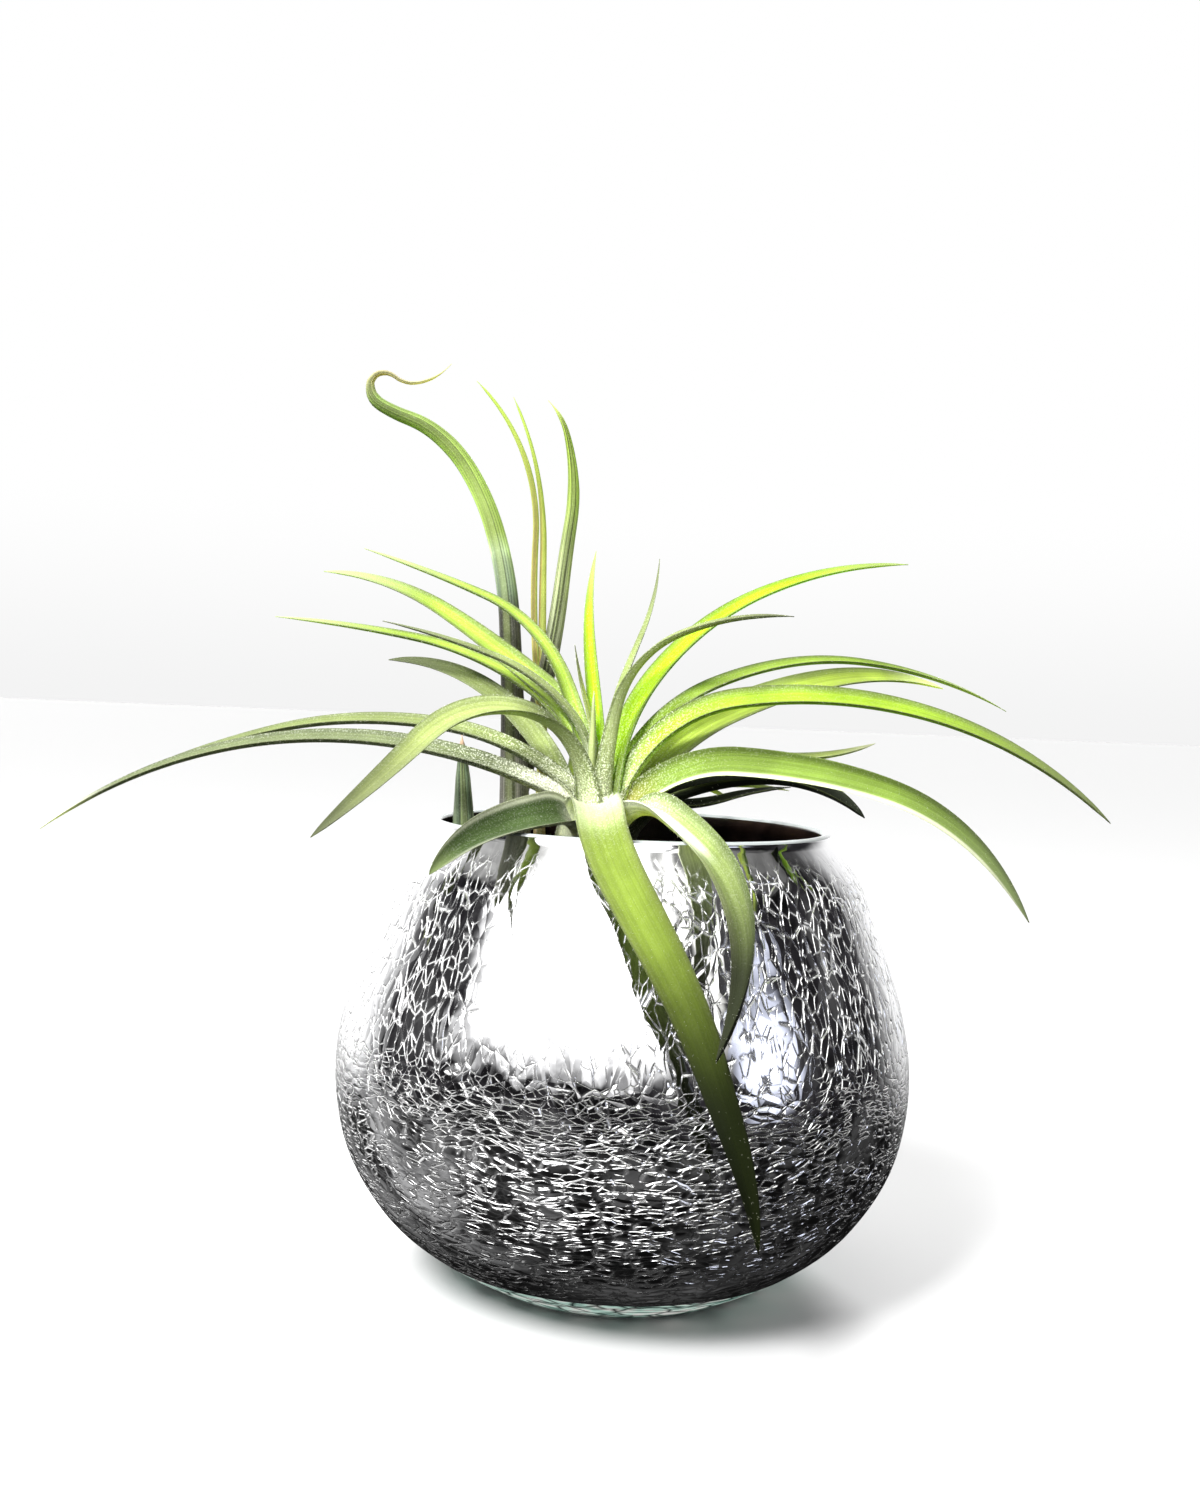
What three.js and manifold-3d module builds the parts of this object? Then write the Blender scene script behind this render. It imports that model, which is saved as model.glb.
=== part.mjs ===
// A cotton king air plant and a slender air plant, standing in one round crackle-glass bowl.
// Millimetres, +Z up. The origin is the middle of the bowl's flat foot, and -Y is the front.
import * as THREE from 'three';
import { mergeVertices } from 'three/addons/utils/BufferGeometryUtils.js';
import Module from 'manifold-3d';

const wasm = await Module();
wasm.setup();

// Bowl: the outside of the blown wall from foot to mouth, as radius and height
const FOOT_RADIUS = 30;
const BELLY_RADIUS = 60;
const BELLY_HEIGHT = 43;
const MOUTH_RADIUS = 42;
const BOWL_HEIGHT = 93.5;
const WALL = 2.2;
const FLOOR = 7;
const BOWL_SIDES = 48;
const BOWL_STEPS = 11;

// Rosette crown: where its axis stands in the mouth, and its height from stem to tip
const CROWN_AT = [-7, -12];
const CROWN_FOOT = 62;
const CROWN_TIP = 105;
const CROWN_RADIUS = 6.5;
const CROWN_SIDES = 16;

// Slender plant: the bulb on the bowl's floor, which its stems grow from
const BULB_AT = [-25, 12];
const BULB_RADIUS = 13;
const BULB_TOP = 54;
const BULB_SIDES = 20;

// Leaves: the places along a leaf, from root to tip, where its climb is given, and its skin
const CLIMB_PLACES = [0, 0.12, 0.35, 0.65, 1];
const LEAF_SIDES = 8;
const LEAF_STEPS = 15;
const STEM_STEPS = 30;
const SPINE_STEPS = 120;
const RINGS_PER_BEND = 0.25;
const MIDRIB_THICKNESS = 1.1;
const TIP_THICKNESS = 0.6;
const TIP_WIDTH = 0.5;
const CHANNEL = 0.55;
const TAPER = 0.7;
const WAIST_LENGTH = 0.35;
const TUBE_FLATNESS = 0.8;
const FLOOR_ROUNDING = 5;

// Clearance kept between neighbours that touch
const GAP = 0.35;

// Places along the leaves whose bend is too tight for the usual ones
const OVER_RIM_PLACES = [0, 0.08, 0.16, 0.24, 0.4, 0.7, 1];
const OVER_LIP_PLACES = [0, 0.15, 0.3, 0.45, 0.7, 1];
const TALL_PLACES = [0, 0.35, 0.55, 0.7, 0.8, 0.87, 0.94, 1];
const CURL_PLACES = [0, 0.32, 0.51, 0.63, 0.71, 0.77, 0.81, 0.85, 0.88, 0.9, 0.92, 0.95, 1];

// One leaf: its root, its length, its climb above level and its compass heading in degrees from root
// to tip (0 is right, 90 is back), and its width. A blade's width is the widest, near the root, and
// fullness is how far up it keeps it. A rolled leaf of the slender plant has a list of places and
// widths. Roll turns a blade's face about its own length, by the right-hand rule, and a list of rolls
// stands evenly along it. Fold is how steeply its channel rises to the margins, and waist is the share
// of its width that it has at the root.
function leaf(name, root, length, climb, heading, width, form = {}) {
  const usual = { fullness: 1, roll: 0, fold: CHANNEL, waist: 1, places: CLIMB_PLACES };
  return { name, root, length, climb, heading, width, ...usual, ...form };
}

const ROSETTE_LEAVES = [
  leaf('leaf_top_1', [-7.9, -11, 97], 58, [92, 90, 76, 61, 63], [145, 107, 75], 4.4, { fullness: 1.2 }),
  leaf('leaf_top_2', [-8.5, -13, 97], 34, [88, 99, 83, 70, 80], [129, 154, 146], 2.6, { fullness: 1.2 }),
  leaf('leaf_top_3', [-6, -9.5, 96], 62, [94, 80, 69, 52, 57], [77, 53, 87], 2.8),
  leaf('leaf_top_4', [-5.5, -14, 94], 68, [87, 81, 75, 22, -3], [-76, -29, -24], 5.6,
    { fullness: 1.2, roll: 20 }),
  leaf('leaf_top_5', [-4.5, -12, 94], 92, [83, 83, 54, 26, 3], [5, 10, 10], 6.6,
    { fullness: 1.2, roll: 35 }),
  leaf('leaf_top_6', [-8.5, -14.5, 96], 25, [80, 88, 86, 84, 84], [-90, -90, -90], 2.4,
    { fullness: 1.5 }),
  leaf('leaf_left_1', [-9, -11, 94], 85, [102, 75, 66, 22, 17], [153, 163, 167], 5.4, { roll: -30 }),
  leaf('leaf_left_2', [-9.5, -9.5, 91.1], 93, [81, 90, 37, 30, 3], [172, 159, 159], 7,
    { fullness: 1.6, roll: -40 }),
  leaf('leaf_left_3', [-10, -11, 91], 93, [84, 86, 34, 10, 4], [169, 171, 165], 5.6, { roll: -30 }),
  leaf('leaf_left_4', [-9.5, -13, 93], 67, [86, 99, 51, 20, 11], [-151, -176, -179], 4.4, { roll: -25 }),
  leaf('leaf_left_5', [-11, -9, 89.4], 63, [79, 72, 52, 27, -2], [178, 158, 166], 5.2,
    { fullness: 2.8, roll: -52 }),
  leaf('leaf_left_6', [-11, -11.5, 89], 121, [111, 38, 6, -13, -23], [196, 164, 162], 5.6,
    { fullness: 1.6, roll: -25 }),
  leaf('leaf_left_7', [-10.5, -14.5, 87], 124, [105, 26, 9, -13, -36], [-157, -180, -187], 7.2,
    { fullness: 1.2, roll: -25 }),
  leaf('leaf_left_8', [-8.6, -15.5, 89.4], 92, [74, 80, 16, -37, -23], [-127, -139, -113], 8,
    { fullness: 1.8, roll: -25 }),
  leaf('leaf_left_9', [-10, -16.5, 85], 49, [86, 59, -4, -13, -35], [-107, -138, -125], 9,
    { fullness: 2.6, roll: -38, fold: 0.85, waist: 0.5 }),
  leaf('leaf_right_1', [-4, -10, 90.3], 118, [93, 67, 24, -3, -22], [6, 23, 28], 5.6, { roll: 25 }),
  leaf('leaf_right_2', [-2.5, -8, 89], 111, [91, 50, 22, 10, -9], [27, 38, 38], 8,
    { fullness: 3, roll: 35 }),
  leaf('leaf_right_3', [-4, -14, 88.4], 122, [85, 67, 10, -13, -42], [-9, -3, -1], 7.4,
    { fullness: 2.2, roll: 32 }),
  leaf('leaf_right_4', [-4.5, -16, 85.8], 111, [90, 46, 0, -12, -43], [-19, -36, -74], 6.8,
    { fullness: 2, roll: 62, fold: 0.6 }),
  leaf('leaf_right_5', [-2, -9, 86.4], 92, [73, 54, 5, 1, 13], [24, 46, 48], 4.6,
    { fullness: 2.5, roll: 20 }),
  leaf('leaf_right_6', [-3.5, -15, 85.5], 59, [51, 62, 23, 3, -36], [-15, -15, -25], 8.4,
    { fullness: 2.5, roll: 24, fold: 0.8 }),
  leaf('leaf_right_7', [-2, -12.5, 86], 51, [56, 73, -1, 12, 4], [4, 44, 31], 4.2,
    { fullness: 1.6, roll: 20 }),
  leaf('leaf_front_1', [-8.5, -17, 90], 113, [78, 24, -3, -30, -37, -67, -77],
    [-86, -79, -47, -16, 50], 9.6,
    { fullness: 2, roll: [0, 8, 34, 56, 84, 120], places: OVER_RIM_PLACES }),
  leaf('leaf_front_2', [-5, -16.5, 86], 84, [63, 36, -24, -25, -46, -50], [-60, -48, -75, -136], 6.8,
    { fullness: 2.5, roll: [0, 20, 26, 20], fold: 1, places: OVER_LIP_PLACES }),
  leaf('leaf_front_3', [-3.5, -15.5, 84], 32, [60, 25, 10, -10, -25], [-40, -32, -25], 4,
    { fullness: 2 }),
  leaf('leaf_back_1', [-8, -7, 89], 92, [84, 42, 8, -16, -42], [98, 96, 99], 5.2, { fullness: 1.4 }),
  leaf('leaf_back_2', [-6.5, -6.5, 88], 100, [82, 44, 8, -18, -40], [88, 86, 84], 5.6, { fullness: 1.6 }),
  leaf('leaf_back_3', [-5, -7, 88], 90, [84, 44, 8, -16, -40], [76, 74, 76], 5.2, { fullness: 1.4 }),
  leaf('leaf_back_4', [-3.5, -8, 88], 56, [76, 50, 14, -8, -16], [60, 58, 56], 4.8, { fullness: 1.6 }),
  leaf('leaf_back_5', [-1.5, -10, 88], 50, [70, 52, 17, 1, -8], [36, 36, 34], 4.6, { fullness: 1.6 }),
];

const SLENDER_LEAVES = [
  leaf('slender_leaf_curled', [-24.1, 15, 45.5], 178,
    [88, 87, 85, 71, 56, 36, 18, 29, 93, 166, 217, 169, 128], [169, 171, 183],
    [[0, 10.5], [0.26, 8.6], [0.42, 6.2], [0.75, 4.8], [0.86, 3.4], [0.89, 1.8], [0.92, 1.1], [1, 0.6]],
    { places: CURL_PLACES }),
  leaf('slender_leaf_tall', [-23, 21, 46], 143, [109, 79, 79, 85, 83, 95, 106, 138], [20, -2, 8],
    [[0, 6.4], [0.36, 5.8], [0.56, 5.2], [0.85, 3.4], [1, 0.6]], { places: TALL_PLACES }),
  leaf('slender_leaf_thin_1', [-21, 14.2, 84], 109, [92, 91, 83, 91, 43], [196, 168, 179],
    [[0, 2.1], [0.8, 1.6], [1, 0.6]]),
  leaf('slender_leaf_thin_2', [-19.6, 18.4, 84], 105, [83, 91, 84, 88, 63], [184, 113, 174],
    [[0, 2.2], [0.7, 1.6], [1, 0.6]]),
  leaf('slender_leaf_spike', [-34, 4, 32], 79, [88, 88, 88, 88, 86], [210, 200, 180],
    [[0, 6.8], [0.75, 6], [0.88, 4], [0.96, 1.9], [1, 0.7]]),
];

const COLORS = {
  glass: { color: 0xb9bcbf, roughness: 0.12, metalness: 1 },
  silverGreen: { color: 0x9aa67c, roughness: 0.8, metalness: 0 },
  limeGreen: { color: 0x9fbf3c, roughness: 0.6, metalness: 0 },
  midGreen: { color: 0x7d9c3c, roughness: 0.6, metalness: 0 },
  darkGreen: { color: 0x4f6a38, roughness: 0.6, metalness: 0 },
  bulbBrown: { color: 0x77745a, roughness: 0.8, metalness: 0 },
};

// The value at one place of a list of values that stand at the given places, joined by straight lines
function valueAt(place, places, values) {
  let next = 1;
  while (next < places.length - 1 && places[next] < place) {
    next += 1;
  }
  const share = (place - places[next - 1]) / (places[next] - places[next - 1]);
  return THREE.MathUtils.lerp(values[next - 1], values[next], THREE.MathUtils.clamp(share, 0, 1));
}

// The value at one place of a list of values that stand evenly along a leaf
function evenValueAt(place, values) {
  return valueAt(place, values.map((_, index) => index / (values.length - 1)), values);
}

// The angles of a leaf at one place: its climb and its heading
function anglesAt(row, place) {
  const climb = valueAt(place, row.places, row.climb);
  const heading = evenValueAt(place, row.heading);
  return [THREE.MathUtils.degToRad(climb), THREE.MathUtils.degToRad(heading)];
}

function rollAt(row, place) {
  const roll = Array.isArray(row.roll) ? evenValueAt(place, row.roll) : row.roll;
  return THREE.MathUtils.degToRad(roll);
}

function direction(climb, heading) {
  const reach = Math.cos(climb);
  return new THREE.Vector3(reach * Math.cos(heading), reach * Math.sin(heading), Math.sin(climb));
}

// Walks a leaf from root to tip in short straight steps, and gives the points in between
function spinePoints(row) {
  const points = [new THREE.Vector3(...row.root)];
  for (let step = 0; step < SPINE_STEPS; step += 1) {
    const [climb, heading] = anglesAt(row, (step + 0.5) / SPINE_STEPS);
    const move = direction(climb, heading).multiplyScalar(row.length / SPINE_STEPS);
    points.push(points[step].clone().add(move));
  }
  return points;
}

function spineAt(points, place) {
  const at = place * SPINE_STEPS;
  const before = Math.min(Math.floor(at), SPINE_STEPS - 1);
  return points[before].clone().lerp(points[before + 1], at - before);
}

// Where the rings of a leaf's skin stand along it: evenly, but closer together in its bends
function ringPlaces(row, steps) {
  const places = [0];
  const sums = [0];
  for (let step = 1; step <= SPINE_STEPS; step += 1) {
    places.push(step / SPINE_STEPS);
    const bend = anglesAt(row, places[step])[0] - anglesAt(row, places[step - 1])[0];
    sums.push(sums[step - 1] + 1 / SPINE_STEPS + RINGS_PER_BEND * Math.abs(bend));
  }
  const total = sums[SPINE_STEPS];
  return Array.from({ length: steps + 1 }, (_, ring) => valueAt(total * ring / steps, sums, places));
}

function widthAt(row, place) {
  if (Array.isArray(row.width)) {
    return valueAt(place, row.width.map((pair) => pair[0]), row.width.map((pair) => pair[1]));
  }
  const taper = (1 - Math.min(place, 1) ** row.fullness) ** TAPER;
  const waist = THREE.MathUtils.lerp(row.waist, 1, Math.min(place / WAIST_LENGTH, 1));
  return Math.max(row.width * taper * waist, TIP_WIDTH);
}

// A closed skin of one leaf. Each ring of a cylinder is moved to its place on the spine: a blade's
// ring is a flat oval bent up into a channel, and a tube's is round. The skin can be grown.
function leafSkin(row, grow) {
  const tube = Array.isArray(row.width);
  const steps = tube ? STEM_STEPS : LEAF_STEPS;
  const points = spinePoints(row);
  const places = ringPlaces(row, steps);
  const skin = new THREE.CylinderGeometry(1, 1, 1, LEAF_SIDES, steps);
  const positions = skin.getAttribute('position');
  const vertex = new THREE.Vector3();
  for (let index = 0; index < positions.count; index += 1) {
    vertex.fromBufferAttribute(positions, index);
    const ring = Math.round((vertex.y + 0.5) * steps);
    const place = places[ring];
    const [climb, heading] = anglesAt(row, place);
    const along = direction(climb, heading);
    const face = direction(climb + Math.PI / 2, heading);
    face.applyAxisAngle(along, rollAt(row, place));
    const across = along.clone().cross(face);
    const width = widthAt(row, place);
    const bladeThickness = THREE.MathUtils.lerp(MIDRIB_THICKNESS, TIP_THICKNESS, place);
    const thickness = tube ? Math.max(width * TUBE_FLATNESS, TIP_THICKNESS) : bladeThickness;
    const channel = tube ? 0 : row.fold * vertex.x ** 2 * width / 2;
    const point = spineAt(points, place);
    point.addScaledVector(across, vertex.x * (width / 2 + grow));
    point.addScaledVector(face, vertex.z * (thickness / 2 + grow) + channel);
    point.addScaledVector(along, (ring === steps ? grow : 0) - (ring === 0 ? grow : 0));
    positions.setXYZ(index, point.x, point.y, point.z);
  }
  return skin;
}

// Turned solids: the outline runs from the axis, round the outside and back to the axis
function turned(outline, sides, at = [0, 0]) {
  const points = outline.map(([radius, height]) => new THREE.Vector2(radius, height));
  const solid = new THREE.LatheGeometry(points, sides);
  solid.rotateX(Math.PI / 2);
  solid.translate(at[0], at[1], 0);
  return solid;
}

function bowlSkin(grow) {
  const outside = new THREE.SplineCurve([
    new THREE.Vector2(FOOT_RADIUS, 0),
    new THREE.Vector2(43, 8),
    new THREE.Vector2(51.3, 16),
    new THREE.Vector2(57.8, 28),
    new THREE.Vector2(BELLY_RADIUS, BELLY_HEIGHT),
    new THREE.Vector2(57.7, 58),
    new THREE.Vector2(52.7, 72),
    new THREE.Vector2(48, 84),
    new THREE.Vector2(MOUTH_RADIUS, BOWL_HEIGHT - WALL / 2),
  ]);
  const outer = [[0, -grow], [FOOT_RADIUS, -grow]];
  const inner = [];
  for (let step = 0; step <= BOWL_STEPS; step += 1) {
    const point = outside.getPoint(step / BOWL_STEPS);
    const tangent = outside.getTangent(step / BOWL_STEPS);
    if (step > 0) {
      outer.push([point.x + tangent.y * grow, point.y - tangent.x * grow]);
    }
    const inside = [point.x - tangent.y * (WALL + grow), point.y + tangent.x * (WALL + grow)];
    if (inside[1] > FLOOR + grow + 1) {
      inner.unshift(inside);
    }
  }
  const lip = [];
  for (const degrees of [45, 90, 135]) {
    const turn = THREE.MathUtils.degToRad(degrees);
    const round = WALL / 2 + grow;
    const middle = [MOUTH_RADIUS - WALL / 2, BOWL_HEIGHT - WALL / 2];
    lip.push([middle[0] + round * Math.cos(turn), middle[1] + round * Math.sin(turn)]);
  }
  const floorRadius = inner[inner.length - 1][0] - FLOOR_ROUNDING;
  const floor = [[floorRadius, FLOOR + grow], [0, FLOOR + grow]];
  return turned([...outer, ...lip, ...inner, ...floor], BOWL_SIDES);
}

function crownSkin(grow) {
  const tall = CROWN_TIP - CROWN_FOOT;
  const lower = [[0, 0], [0.45, 0.02], [0.7, 0.2], [0.95, 0.45]];
  const outline = [...lower, [1, 0.62], [0.8, 0.78], [0.4, 0.92], [0, 1]];
  const points = outline.map(([radius, height]) => [
    radius * CROWN_RADIUS + (radius > 0 ? grow : 0),
    CROWN_FOOT + height * tall + (height * 2 - 1) * grow,
  ]);
  return turned(points, CROWN_SIDES, CROWN_AT);
}

function bulbSkin(grow) {
  const foot = FLOOR + GAP;
  const tall = BULB_TOP - foot;
  const lower = [[0, 0], [0.5, 0], [0.86, 0.14], [1, 0.34], [0.94, 0.56]];
  const outline = [...lower, [0.78, 0.76], [0.62, 0.92], [0.4, 1], [0, 1]];
  const points = outline.map(([radius, height]) => [
    radius * BULB_RADIUS + (radius > 0 ? grow : 0),
    foot + height * tall + (height * 2 - 1) * grow,
  ]);
  return turned(points, BULB_SIDES, BULB_AT);
}

function toManifold(geometry) {
  const bare = geometry.clone();
  bare.deleteAttribute('normal');
  bare.deleteAttribute('uv');
  const merged = mergeVertices(bare, 1e-4);
  return new wasm.Manifold(new wasm.Mesh({
    numProp: 3,
    vertProperties: new Float32Array(merged.getAttribute('position').array),
    triVerts: new Uint32Array(merged.getIndex().array),
  }));
}

function toGeometry(manifold) {
  const mesh = manifold.getMesh();
  const geometry = new THREE.BufferGeometry();
  geometry.setAttribute('position', new THREE.BufferAttribute(mesh.vertProperties, 3));
  geometry.setIndex(new THREE.BufferAttribute(mesh.triVerts, 1));
  geometry.computeVertexNormals();
  return geometry;
}

// Of the bodies that a cut leaves, the one with the most volume
function largestBody(manifold) {
  const bodies = manifold.decompose();
  return bodies.reduce((best, body) => (body.volume() > best.volume() ? body : best));
}

const plant = new THREE.Group();
const placed = [];

function boxesMeet(one, other) {
  const box = one.boundingBox();
  const otherBox = other.boundingBox();
  const reach = (axis) => box.min[axis] < otherBox.max[axis] && otherBox.min[axis] < box.max[axis];
  return reach(0) && reach(1) && reach(2);
}

// Adds one solid, cut clear of all that are already placed. Its grown skin then cuts the later ones.
function addSolid(name, skinOf, color) {
  let solid = toManifold(skinOf(0));
  for (const earlier of placed) {
    if (boxesMeet(solid, earlier)) {
      const cut = solid.subtract(earlier);
      solid.delete();
      solid = cut;
    }
  }
  solid = largestBody(solid);
  placed.push(toManifold(skinOf(GAP)), solid);
  const mesh = new THREE.Mesh(toGeometry(solid), new THREE.MeshStandardMaterial(COLORS[color]));
  mesh.name = name;
  plant.add(mesh);
}

addSolid('crackle_glass_bowl', bowlSkin, 'glass');
addSolid('rosette_crown', crownSkin, 'silverGreen');
addSolid('slender_plant_bulb', bulbSkin, 'bulbBrown');
for (const row of SLENDER_LEAVES) {
  addSolid(row.name, (grow) => leafSkin(row, grow), 'darkGreen');
}
for (const row of ROSETTE_LEAVES) {
  addSolid(row.name, (grow) => leafSkin(row, grow), row.name.includes('top') ? 'limeGreen' : 'midGreen');
}

export default plant;
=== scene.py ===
"""The looks of a cotton king and a slender air plant in a mirrored crackle-glass bowl."""

import math

import bpy
import numpy as np
from mathutils import Matrix, Vector


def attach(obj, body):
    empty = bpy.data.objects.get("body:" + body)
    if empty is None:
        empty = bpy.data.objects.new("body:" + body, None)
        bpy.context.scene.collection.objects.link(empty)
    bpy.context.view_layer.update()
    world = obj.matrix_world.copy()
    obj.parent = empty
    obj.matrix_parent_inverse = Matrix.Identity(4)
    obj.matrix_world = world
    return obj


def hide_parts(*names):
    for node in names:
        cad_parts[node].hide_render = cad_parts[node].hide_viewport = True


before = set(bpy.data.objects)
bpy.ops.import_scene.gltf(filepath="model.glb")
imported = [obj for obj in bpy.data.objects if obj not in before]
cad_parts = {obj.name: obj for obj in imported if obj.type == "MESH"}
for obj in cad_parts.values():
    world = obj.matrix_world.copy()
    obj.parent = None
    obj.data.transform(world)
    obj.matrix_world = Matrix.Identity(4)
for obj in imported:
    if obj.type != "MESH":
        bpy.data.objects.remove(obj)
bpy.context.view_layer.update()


# The view and the light. The bowl stands on a plain pale floor, seen from the front at the height
# of its leaves. Strong light comes from behind, soft light from the front left, and a narrow beam
# brightens the crown. The bowl mirrors a dim studio, with soft boxes of light standing in it.
CAMERA_AT = (0, -0.307, 0.117)
TURN_LEFT = 1.35
LOOK_DOWN = 1.55
LEAN = 2.3
LENS = 34.8
bpy.ops.object.select_all(action="DESELECT")
bpy.ops.object.camera_add(location=CAMERA_AT)
camera = bpy.context.object
turned = Matrix.Rotation(math.radians(TURN_LEFT), 4, "Z")
tilted = Matrix.Rotation(math.radians(90 - LOOK_DOWN), 4, "X")
leaned = Matrix.Rotation(math.radians(LEAN), 4, "Z")
camera.matrix_world = Matrix.Translation(CAMERA_AT) @ turned @ tilted @ leaned
camera.data.sensor_width = 36
camera.data.lens = LENS
camera.data.clip_start = 0.01
camera.data.clip_end = 20
bpy.context.scene.camera = camera
bpy.context.scene.view_settings.view_transform = "Standard"


def add_node(tree, kind, inputs=None, **settings):
    """Adds one shader node. An input is a number, a colour or the output of another node."""
    node = tree.nodes.new(kind)
    for name, value in settings.items():
        setattr(node, name, value)
    for key, value in (inputs or {}).items():
        if isinstance(value, bpy.types.NodeSocket):
            tree.links.new(value, node.inputs[key])
        elif value is not None:
            node.inputs[key].default_value = value
    return node


def ramp(tree, value, *stops):
    """A colour ramp through stops of place and grey value or colour."""
    node = add_node(tree, "ShaderNodeValToRGB", {"Fac": value})
    band = node.color_ramp
    while len(band.elements) < len(stops):
        band.elements.new(0.5)
    for element, (place, shade) in zip(band.elements, stops):
        color = (shade, shade, shade) if isinstance(shade, (int, float)) else shade
        element.position = place
        element.color = (*color, 1)
    return node.outputs["Color"]


def steps(tree, value, start, end, low=0.0, high=1.0):
    """Runs smoothly from low to high while the value runs from start to end."""
    levels = {"Value": value, "From Min": start, "From Max": end, "To Min": low, "To Max": high}
    node = add_node(tree, "ShaderNodeMapRange", levels, interpolation_type="SMOOTHSTEP")
    return node.outputs["Result"]


def maths(tree, operation, first, second=None):
    """Works out one sum with one or two values."""
    node = add_node(tree, "ShaderNodeMath", {0: first, 1: second}, operation=operation)
    return node.outputs["Value"]


def noise(tree, place, scale, detail, kind="Fac"):
    """Soft random patches. The larger the scale, the smaller they are."""
    patches = {"Vector": place, "Scale": scale, "Detail": detail}
    return add_node(tree, "ShaderNodeTexNoise", patches).outputs[kind]


def grey(tree, value):
    """A grey as light as the value."""
    return add_node(tree, "ShaderNodeCombineColor", {0: value, 1: value, 2: value}).outputs[0]


def blend_colors(tree, factor, first, second, mode="MIX"):
    """Lays the second colour over the first as strongly as the factor says."""
    node = add_node(tree, "ShaderNodeMix", data_type="RGBA", blend_type=mode)
    for place, value in ((0, factor), (6, first), (7, second)):
        if isinstance(value, bpy.types.NodeSocket):
            tree.links.new(value, node.inputs[place])
        elif place == 0:
            node.inputs[place].default_value = value
        else:
            node.inputs[place].default_value = (*value, 1)
    return node.outputs[2]


def mix_shaders(tree, share, first, second):
    """Mixes two shaders, with the given share of the second."""
    shaders = {"Fac": share, 1: first.outputs[0], 2: second.outputs[0]}
    return add_node(tree, "ShaderNodeMixShader", shaders)


world = bpy.data.worlds.new("studio_air")
world.use_nodes = True
bpy.context.scene.world = world
air = world.node_tree
air.nodes.clear()
toward = add_node(air, "ShaderNodeTexCoord").outputs["Generated"]
way = add_node(air, "ShaderNodeSeparateXYZ", {0: toward})
side_way, back_way, up_way = way.outputs["X"], way.outputs["Y"], way.outputs["Z"]
# The compass is 0 straight in front of the bowl and grows to the right, in radians
compass = maths(air, "ARCTAN2", side_way, maths(air, "MULTIPLY", back_way, -1.0))
uneven = noise(air, toward, scale=4.5, detail=3.0)
stray = maths(air, "MULTIPLY", maths(air, "SUBTRACT", uneven, 0.5), 0.5)
stray_compass = maths(air, "ADD", compass, stray)
stray_height = maths(air, "ADD", up_way, stray)


def soft_box(compass_way, height_way, left, right, foot):
    """A tall box of light. Its left edge, right edge and foot each fade between two angles."""
    from_left = steps(air, compass_way, *left)
    to_right = steps(air, compass_way, *right, 1.0, 0.0)
    across = maths(air, "MULTIPLY", from_left, to_right)
    return maths(air, "MULTIPLY", across, steps(air, height_way, *foot))


SMALL_BOX_WAY = 1.02
SMALL_BOX_HEIGHT = 0.2
SMALL_BOX_EDGE = 0.09
big_box = soft_box(
    stray_compass, stray_height, left=(-1.34, -1.08), right=(0.34, 0.50), foot=(0.06, 0.40)
)
narrow_box = soft_box(compass, up_way, left=(0.50, 0.58), right=(0.68, 0.80), foot=(0.1, 0.5))
small_box_aside = maths(air, "POWER", maths(air, "SUBTRACT", compass, SMALL_BOX_WAY), 2.0)
small_box_above = maths(air, "POWER", maths(air, "SUBTRACT", up_way, SMALL_BOX_HEIGHT), 2.0)
from_small_box = maths(air, "ADD", small_box_aside, small_box_above)
small_box = steps(air, from_small_box, 0.0, SMALL_BOX_EDGE, 1.0, 0.0)
ceiling = steps(air, stray_height, 0.55, 0.85, 0.0, 0.55)
ceiling = maths(air, "MULTIPLY", ceiling, steps(air, compass, 0.2, 0.8, 1.0, 0.3))

# The dim studio, its bright far side, the boxes in it, and the dusk under them
shadows = noise(air, toward, scale=2.6, detail=4.0)
studio = ramp(air, shadows, (0.35, 0.004), (0.55, (0.03, 0.028, 0.032)), (0.75, 0.13))
further_right = steps(air, side_way, -0.2, 0.2, 0.0, 0.3)
from_front = maths(air, "SUBTRACT", maths(air, "ABSOLUTE", compass), further_right)
on_the_right = steps(air, side_way, -0.5, 0.0)
far_side = blend_colors(air, on_the_right, (1.8, 1.8, 1.8), (1.2, 1.2, 1.2))
mirrored = blend_colors(air, steps(air, from_front, 1.75, 2.3), studio, far_side)
for box, color in (
    (small_box, (1.9, 2.0, 2.4)),
    (narrow_box, (2.2, 2.2, 2.1)),
    (big_box, (3.6, 3.6, 3.6)),
    (ceiling, (1.6, 1.6, 1.55)),
):
    mirrored = blend_colors(air, box, mirrored, color)
dusk = steps(air, shadows, 0.45, 0.75, 0.005, 0.13)
dusk = maths(air, "MULTIPLY", dusk, steps(air, side_way, -0.80, -0.20, 5.0, 1.0))
below = steps(air, up_way, -0.34, -0.06, 1.0, 0.0)
mirrored = blend_colors(air, below, mirrored, grey(air, dusk))

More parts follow.
